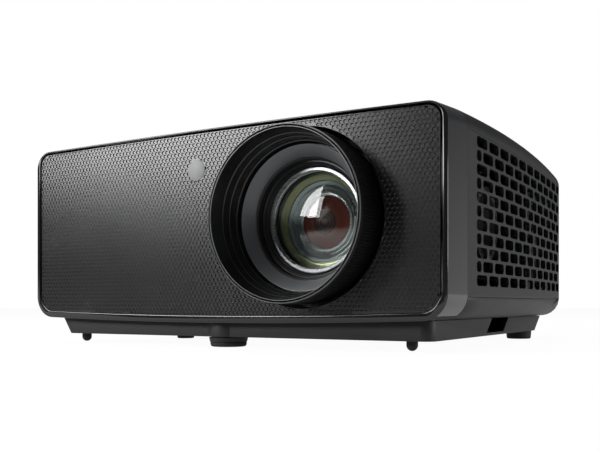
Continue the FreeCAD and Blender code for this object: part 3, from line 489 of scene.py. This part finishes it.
# name, body, finish, slot, steps, node it stands for, profile of (radius, depth) in mm
TURNED = [
    ("hood_rim", "focus_ring", "hood_rim_satin", "lens_satin", RING_STEPS, None,
     [(52.25, -25.0), (53.75, -25.0), (54.3, -24.45), (54.3, -23.2), (54.0, -23.2), (54.0, -24.3),
      (53.6, -24.7), (52.5, -24.7), (52.3, -24.3), (52.2, -24.5)]),
    ("front_barrel_bore", "front_barrel", "bore_black", "lens_black", RING_STEPS, "front_barrel",
     [(39.9, 8.6), (46.4, 2.1), (46.7, 3.9), (40.6, 8.8), (40.6, 40), (37, 40), (37, 32.5), (34.6, 32.5),
      (34.6, 22), (35.2, 18.2), (36.0, 17.6), (36.4, 14.0), (38.0, 13.4), (38.6, 9.4)]),
    ("satin_name_ring", "front_barrel", "name_ring_satin", "lens_satin", RING_STEPS, None,
     [(39.6, 8), (40.0, 7.4), (46.2, 1.3), (46.5, 1.2), (46.7, 3.9), (46.2, 4.0), (40.4, 8.6), (39.6, 8.8)]),
    ("front_barrel_step", "front_barrel", "hood_black", "lens_black", RING_STEPS, None,
     [(34.6, 18.3), (35.3, 17.5), (36.9, 13.6), (37.3, 13.2), (37.9, 13.2), (37.9, 13.8), (36.5, 18.0),
      (34.6, 19)]),
    ("silver_retaining_ring", "front_barrel", "ring_silver", "ring_silver", RING_STEPS,
     "front_retaining_ring",
     [(31.8, 18.0), (32.4, 17.0), (34.0, 17.0), (34.5, 17.5), (34.5, 21.2), (31.8, 21.2), (31.8, 19.6),
      (31.5, 19.4), (31.5, 18.6), (31.8, 18.4)]),
    ("front_lens_glass", "front_barrel", "lens_glass", "lens_glass", GLASS_STEPS, "front_lens",
     front_glass_profile()),
    ("inner_cell_land", "front_barrel", "bore_black", "lens_black", CELL_STEPS, None,
     [(36.8, 31.2), (31.6, 30.8), (31.2, 31.4), (36.8, 33)]),
    # the green band and the teal cone carry painted reflections of the lens coatings, not the rings' own
    # colour
    ("inner_cell_green_band", "front_barrel", "painted_coating_reflection_green", "lens_glass", CELL_STEPS, None,
     [(31.6, 31.5), (31.2, 30.9), (30.6, 30.8), (30.2, 31.2), (27.0, 32.2), (27.0, 33.2), (31.6, 33.2)]),
    ("inner_cell_cone", "front_barrel", "painted_coating_reflection_teal", "ring_silver", CELL_STEPS, "inner_cell",
     [(36.8, 33.2), (27.0, 33.2), (27.0, 32.4), (26.4, 32.2), (24.4, 33.2), (24.0, 33.0), (23.6, 33.4),
      (21.6, 34.4), (21.2, 34.2), (20.8, 34.6), (19.6, 35.2), (19.6, 37.0), (25.2, 39), (36.8, 39)]),
    ("inner_cell_lip", "front_barrel", "ring_silver", "ring_silver", CELL_STEPS, None,
     [(19.6, 35.3), (19.2, 34.7), (18.2, 34.6), (17.5, 35.2), (17.5, 36.2), (19.6, 37)]),
    ("red_second_element", "front_barrel", "red_element_painted_reflections", "lens_glass", GLASS_STEPS, "second_lens",
     [(0, 33), (3, 33.05), (6, 33.2), (9, 33.55), (12, 34.1), (15, 34.75), (17.4, 35.4), (21, 37.2),
      (25, 38.9), (25, 39.6), (0, 41)]),
]

ribbed_hood()
for name, body, look, slot, steps, node, profile in TURNED:
    place(lathe(profile, steps), name, body, look, slot, [node] if node else [])


# ------------------------------------------------------------------ casing pieces with rolled edges

HARD_TURN = math.radians(30.0)                           # an edge that turns more is hard


def front_rim(edge):
    """Whether the edge lies in the casing's front face."""
    return max(v.co.y for v in edge.verts) < FRONT + 0.1 * MM


def rolled(node, look, slot, width, segments=2, where=None):
    """A CAD node's own shape with its hard edges, or those that where picks, rolled by a width in mm."""
    bm = merged_copy(node)
    sharp = [e for e in bm.edges if len(e.link_faces) == 2 and e.calc_face_angle(0) > HARD_TURN
             and (where is None or where(e))]
    bmesh.ops.bevel(bm, geom=sharp, offset=width * MM, offset_type="OFFSET", segments=segments, profile=0.5,
                    affect="EDGES", clamp_overlap=True, material=-1)
    place(bm, node + "_rolled", frame["nodes"][node]["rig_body"], look, slot, [node], 32.0)


rolled("front_frame", "piano_black", "gloss_black", 0.9, 3, front_rim)
rolled("lower_case", "panel_grain_charcoal", "charcoal_plastic", 0.3)
rolled("base_pan", "base_grain_black", "base_black", 0.6)
rolled("front_ir_window", "window_grey", "window_grey", 0.25)
rolled("front_foot_pad", "foot_rubber", "foot_rubber", 0.4)
rolled("ac_inlet", "matte_black", "matte_black", 0.2)
rolled("shift_dial", "key_black", "key_black", 0.3)


# ------------------------------------------------------------------ marks on the keys

MARK_HEIGHT, MARK_PROUD = 0.3 * MM, 0.1 * MM


def raised_mark(name, key, sides, turn, radius):
    """A small raised mark in the middle of a key's cap: a three-sided arrow head or a round dot."""
    low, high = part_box(key)
    bm = bmesh.new()
    bmesh.ops.create_cone(bm, cap_ends=True, segments=sides, radius1=radius * MM, radius2=radius * 0.85 * MM,
                          depth=MARK_HEIGHT)
    centre = Vector(((low.x + high.x) / 2, (low.y + high.y) / 2, high.z + MARK_PROUD))
    bmesh.ops.transform(bm, verts=bm.verts, matrix=Matrix.Translation(centre) @ Matrix.Rotation(turn, 4, "Z"))
    place(bm, name, key, "ink_white", "key_black")


for quarter, side in enumerate(("right", "up", "left", "down")):
    raised_mark(side + "_arrow", side + "_button", 3, math.radians(90 * quarter - 90), 1.6)
raised_mark("power_dot", "power_button", 24, 0.0, 1.5)
raised_mark("enter_dot", "enter_button", 24, 0.0, 1.0)


# ------------------------------------------------------------------ light, backdrop and camera

def softbox(name, at, aim, size, power):
    """A rectangular light at one point that looks at another."""
    lamp = bpy.data.lights.new(name, "AREA")
    lamp.shape = "RECTANGLE"
    lamp.size, lamp.size_y = size
    lamp.energy = power
    made = bpy.data.objects.new(name, lamp)
    made.location = at
    made.rotation_euler = (Vector(aim) - Vector(at)).to_track_quat("-Z", "Y").to_euler()
    bpy.context.scene.collection.objects.link(made)


def white_share(tree, mirrored):
    """How much of the plain white a ray finds: all of it for the camera, straight on or through glass, a
    share for a mirrored ray, and none for light on matt faces."""
    rays = add(tree, "ShaderNodeLightPath").outputs
    bounces = sum_of(tree, "ADD", rays["Diffuse Depth"], rays["Glossy Depth"])
    glass = sum_of(tree, "MULTIPLY", rays["Is Transmission Ray"], sum_of(tree, "LESS_THAN", bounces, 0.5))
    gloss = sum_of(tree, "MULTIPLY", rays["Is Glossy Ray"], mirrored)
    return sum_of(tree, "MAXIMUM", sum_of(tree, "MAXIMUM", rays["Is Camera Ray"], glass), gloss)


def studio_room():
    """A dim room that the camera sees as white and gloss mirrors a little, low down behind the object."""
    room = bpy.data.worlds.new("studio")
    room.use_nodes = True
    bpy.context.scene.world = room
    tree = room.node_tree
    tree.nodes.clear()
    direction = add(tree, "ShaderNodeTexCoord").outputs["Generated"]
    way = add(tree, "ShaderNodeSeparateXYZ", Vector=direction).outputs
    low_down = spread(tree, way["Z"], -0.05, 0.35, 0.30, 0.02)
    share = white_share(tree, sum_of(tree, "MULTIPLY", low_down, spread(tree, way["Y"], 0.0, 0.6, 0.0, 1.0)))
    dim = add(tree, "ShaderNodeBackground", Color=(0.80, 0.82, 0.88, 1), Strength=0.07)
    white = add(tree, "ShaderNodeBackground", Color=(1, 1, 1, 1), Strength=1.0)
    mix = add(tree, "ShaderNodeMixShader", i0=share, i1=dim.outputs[0], i2=white.outputs[0])
    tree.links.new(mix.outputs[0], add(tree, "ShaderNodeOutputWorld").inputs["Surface"])


FLOOR_RADIUS = 6.0


def pale_floor():
    """A round floor, nearly white to the camera, that still takes the object's soft shadow."""
    bm = bmesh.new()
    bmesh.ops.create_circle(bm, cap_ends=True, segments=64, radius=FLOOR_RADIUS)
    mesh = bpy.data.meshes.new("floor")
    bm.to_mesh(mesh)
    bm.free()
    floor = bpy.data.objects.new("floor", mesh)
    bpy.context.scene.collection.objects.link(floor)
    pale = bpy.data.materials.new("pale_floor")
    pale.use_nodes = True
    tree = pale.node_tree
    tree.nodes.clear()
    share = sum_of(tree, "MULTIPLY", white_share(tree, 0.3), 0.9)
    matt = add(tree, "ShaderNodeBsdfDiffuse", Color=(0.65, 0.65, 0.65, 1))
    glow = add(tree, "ShaderNodeEmission", Color=(1, 1, 1, 1), Strength=1.07)
    mix = add(tree, "ShaderNodeMixShader", i0=share, i1=matt.outputs[0], i2=glow.outputs[0])
    tree.links.new(mix.outputs[0], add(tree, "ShaderNodeOutputMaterial").inputs["Surface"])
    mesh.materials.append(pale)


CAMERA_AT = (0.32264, -0.56615, 0.02913)
CAMERA_TURN = 29.396                                     # degrees to the left, seen from above


def viewpoint():
    """A low camera in front and to the right of the object, held level and shifted to frame it."""
    lens = bpy.data.cameras.new("camera")
    lens.sensor_width = 36.0
    lens.lens = 46.709
    lens.shift_x = -0.03333
    lens.shift_y = 0.13255
    lens.clip_start, lens.clip_end = 0.01, 50.0
    camera = bpy.data.objects.new("camera", lens)
    camera.location = CAMERA_AT
    camera.rotation_euler = (math.pi / 2, 0, math.radians(CAMERA_TURN))
    bpy.context.scene.collection.objects.link(camera)
    bpy.context.scene.camera = camera


softbox("front_softbox", (-1.05, -1.37, 0.74), (-0.02, -0.14, 0.1), (0.85, 0.8), 27)
softbox("top_softbox", (0.1, 0.2, 1.5), (0, 0, 0.1), (1.2, 1.2), 9)
softbox("side_softbox", (1.5, 0.6, 0.25), (0.15, 0, 0.04), (0.8, 0.35), 6)
studio_room()
pale_floor()
viewpoint()
bpy.context.scene.view_settings.view_transform = "Standard"


# ------------------------------------------------------------------ finishes of the CAD nodes

NODE_LOOKS = {
    "piano_black": "front_frame",
    "window_grey": "front_ir_window",
    "matte_black": "front_foot_screw lens_shroud main_barrel shift_carriage ac_inlet audio_jacks"
                   " lens_control_tray speaker",
    "panel_grain_charcoal": "right_side_panel left_side_panel lower_case",
    "cover_grain_black": "top_cover rear_panel",
    "base_grain_black": "base_pan",
    "foot_rubber": "front_foot_pad rubber_feet stabiliser_pins",
    "screw_steel": "pan_screws shift_rods",
    "insert_brass": "mount_inserts",
    "lens_glass": "zoom_lens rear_lens",
    "hood_black": "zoom_ring zoom_tube",
    "frame_metal": "lens_mount_frame laser_module optical_engine wheel_housing power_supply",
    "sink_metal": "laser_heatsink image_chip_heatsink",
    "socket_metal": "hdmi_sockets usb_sockets network_socket",
    "key_black": "shift_dial power_button menu_button enter_button up_button down_button left_button"
                 " right_button",
    "board_green": "keypad_board main_board",
    "light_clear": "status_lights",
    "window_dark": "top_ir_window",
    "fan_black": "intake_fan_frame exhaust_fan_frame intake_fan_rotor exhaust_fan_rotor",
    "wheel_metal": "phosphor_wheel",
}
for look, names in NODE_LOOKS.items():
    for name in names.split():
        node = frame["nodes"][name]
        node.data.materials.clear()
        node.data.materials.append(FINISHES[look])
